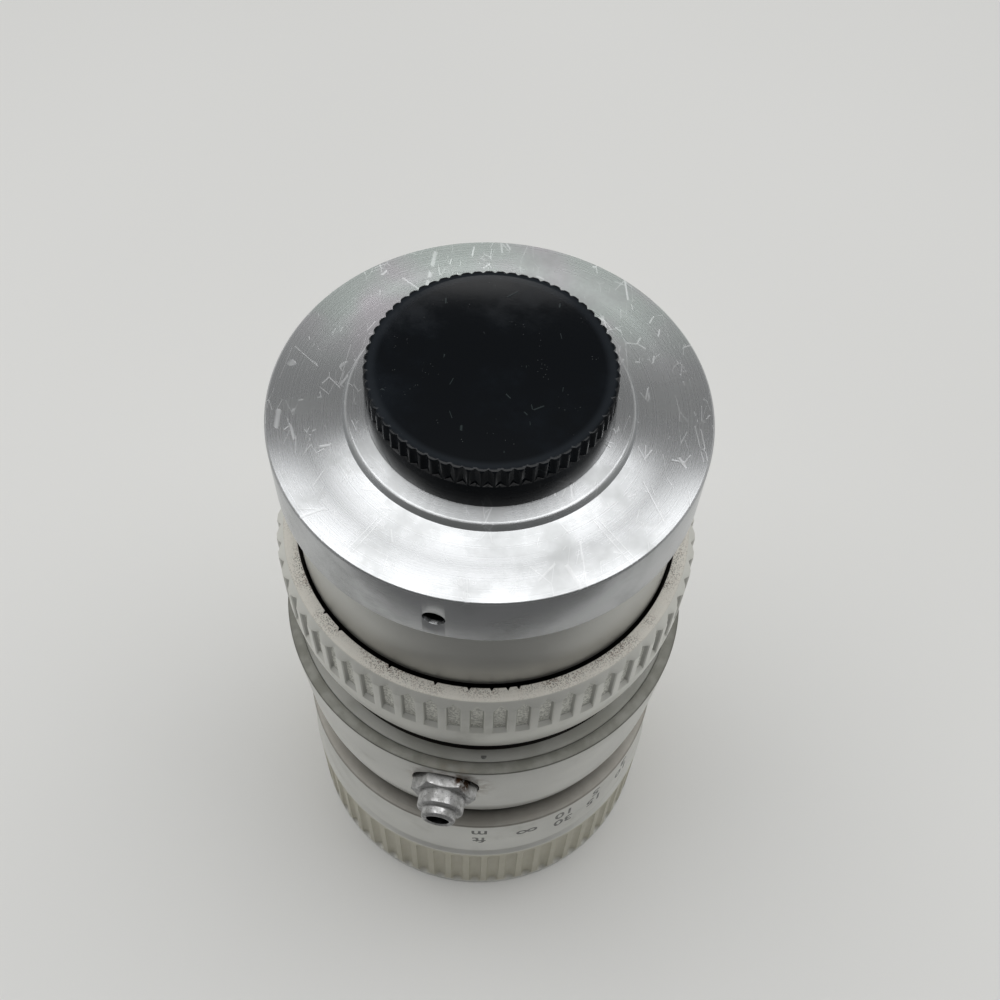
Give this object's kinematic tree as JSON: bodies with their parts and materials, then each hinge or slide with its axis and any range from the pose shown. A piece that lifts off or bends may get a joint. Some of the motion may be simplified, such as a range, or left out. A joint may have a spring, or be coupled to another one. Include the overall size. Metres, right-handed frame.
{
  "type": "zoom lens",
  "caption": "Manual zoom lens with fluted focus and aperture rings, a lever socket on the zoom ring, an iris, and a wide screw-mount adapter under a rear cap.",
  "frame": {"origin": "on the optical axis at the front rim, where the filter thread starts", "axes": "+Z along the optical axis from the front rim to the rear cap; -Y towards the side that shows the zoom lever socket"},
  "size_m": [0.0638, 0.0691, 0.1181],
  "materials": {
    "cap_plastic": "moulded black plastic, semi-gloss, dusty and scratched",
    "bare_aluminium": "turned bare aluminium, scratched",
    "matte_barrel": "fine matte satin",
    "satin_rings": "satin anodised silver, aged and dusty",
    "black_anodised": "black anodised",
    "blackened_steel": "blackened",
    "worn_steel": "worn grey, pitted",
    "blade_steel": "blued black leaf",
    "guide_brass": "turned",
    "lens_glass": "polished and coated optical glass"
  },
  "bodies": {
    "root": {"mount_adapter": "bare_aluminium", "mount_set_screws": "blackened_steel", "rear_barrel": "matte_barrel", "relay_cell": "black_anodised", "relay_lens_inner": "lens_glass", "relay_spacer": "black_anodised", "relay_lens_outer": "lens_glass", "relay_keeper_ring": "black_anodised", "iris_housing": "black_anodised", "iris_cover": "black_anodised", "index_ring": "satin_rings", "main_barrel": "black_anodised", "guide_tube": "black_anodised", "focus_stop_ring": "black_anodised", "focus_key_screw": "blackened_steel"},
    "cap": {"rear_cap": "cap_plastic"},
    "aperture": {"aperture_ring": "satin_rings", "aperture_drive_pin": "blackened_steel", "iris_drive_ring": "black_anodised"},
    "zoom": {"zoom_ring": "satin_rings", "zoom_lever_socket": "worn_steel", "cam_tube": "guide_brass"},
    "variator": {"variator_cell": "guide_brass", "variator_lens": "lens_glass", "variator_pins": "blackened_steel"},
    "compensator": {"compensator_cell": "guide_brass", "compensator_lens": "lens_glass", "compensator_pins": "blackened_steel"},
    "focus": {"focus_ring": "satin_rings"},
    "front_group": {"front_cell": "black_anodised", "front_lens": "lens_glass", "front_keeper_ring": "black_anodised", "front_second_lens": "lens_glass", "front_rear_keeper": "black_anodised"},
    "blade_1": {"iris_blade_1": "blade_steel"},
    "blade_2": {"iris_blade_2": "blade_steel"},
    "blade_3": {"iris_blade_3": "blade_steel"},
    "blade_4": {"iris_blade_4": "blade_steel"},
    "blade_5": {"iris_blade_5": "blade_steel"},
    "blade_6": {"iris_blade_6": "blade_steel"}
  },
  "joints": [
    {"name": "cap_lift", "type": "slide", "parent": "root", "child": "cap", "axis": [0, 0, 1], "range_m": [0, 0.012]},
    {"name": "aperture_turn", "type": "hinge", "parent": "root", "child": "aperture", "pos_m": [0, 0, 0.07], "axis": [0, 0, 1], "range_deg": [0, 45]},
    {"name": "zoom_turn", "type": "hinge", "parent": "root", "child": "zoom", "pos_m": [0, 0, 0.05], "axis": [0, 0, 1], "range_deg": [0, 90]},
    {"name": "focus_turn", "type": "hinge", "parent": "root", "child": "focus", "pos_m": [0, 0, 0.02], "axis": [0, 0, 1], "range_deg": [0, 270]},
    {"name": "variator_slide", "type": "slide", "parent": "root", "child": "variator", "axis": [0, 0, 1], "range_m": [0, 0.01401]},
    {"name": "compensator_slide", "type": "slide", "parent": "root", "child": "compensator", "axis": [0, 0, 1], "range_m": [-0.00401, 0]},
    {"name": "front_group_slide", "type": "slide", "parent": "root", "child": "front_group", "axis": [0, 0, 1], "range_m": [-0.00301, 0]},
    {"name": "blade_1_swing", "type": "hinge", "parent": "root", "child": "blade_1", "pos_m": [0.0175, 0, 0.0698], "axis": [0, 0, 1], "range_deg": [0, 27.01]},
    {"name": "blade_2_swing", "type": "hinge", "parent": "root", "child": "blade_2", "pos_m": [0.00875, 0.01516, 0.0698], "axis": [0, 0, 1], "range_deg": [0, 27.01]},
    {"name": "blade_3_swing", "type": "hinge", "parent": "root", "child": "blade_3", "pos_m": [-0.00875, 0.01516, 0.0698], "axis": [0, 0, 1], "range_deg": [0, 27.01]},
    {"name": "blade_4_swing", "type": "hinge", "parent": "root", "child": "blade_4", "pos_m": [-0.0175, 0, 0.0698], "axis": [0, 0, 1], "range_deg": [0, 27.01]},
    {"name": "blade_5_swing", "type": "hinge", "parent": "root", "child": "blade_5", "pos_m": [-0.00875, -0.01516, 0.0698], "axis": [0, 0, 1], "range_deg": [0, 27.01]},
    {"name": "blade_6_swing", "type": "hinge", "parent": "root", "child": "blade_6", "pos_m": [0.00875, -0.01516, 0.0698], "axis": [0, 0, 1], "range_deg": [0, 27.01]}
  ],
  "couplings": [
    {"joint": "variator_slide", "follows": "zoom_turn", "m_per_rad": 0.0089127},
    {"joint": "compensator_slide", "follows": "zoom_turn", "m_per_rad": -0.0025465},
    {"joint": "front_group_slide", "follows": "focus_turn", "m_per_rad": -0.00063662},
    {"joint": "blade_1_swing", "follows": "aperture_turn", "ratio": 0.6},
    {"joint": "blade_2_swing", "follows": "aperture_turn", "ratio": 0.6},
    {"joint": "blade_3_swing", "follows": "aperture_turn", "ratio": 0.6},
    {"joint": "blade_4_swing", "follows": "aperture_turn", "ratio": 0.6},
    {"joint": "blade_5_swing", "follows": "aperture_turn", "ratio": 0.6},
    {"joint": "blade_6_swing", "follows": "aperture_turn", "ratio": 0.6}
  ]
}
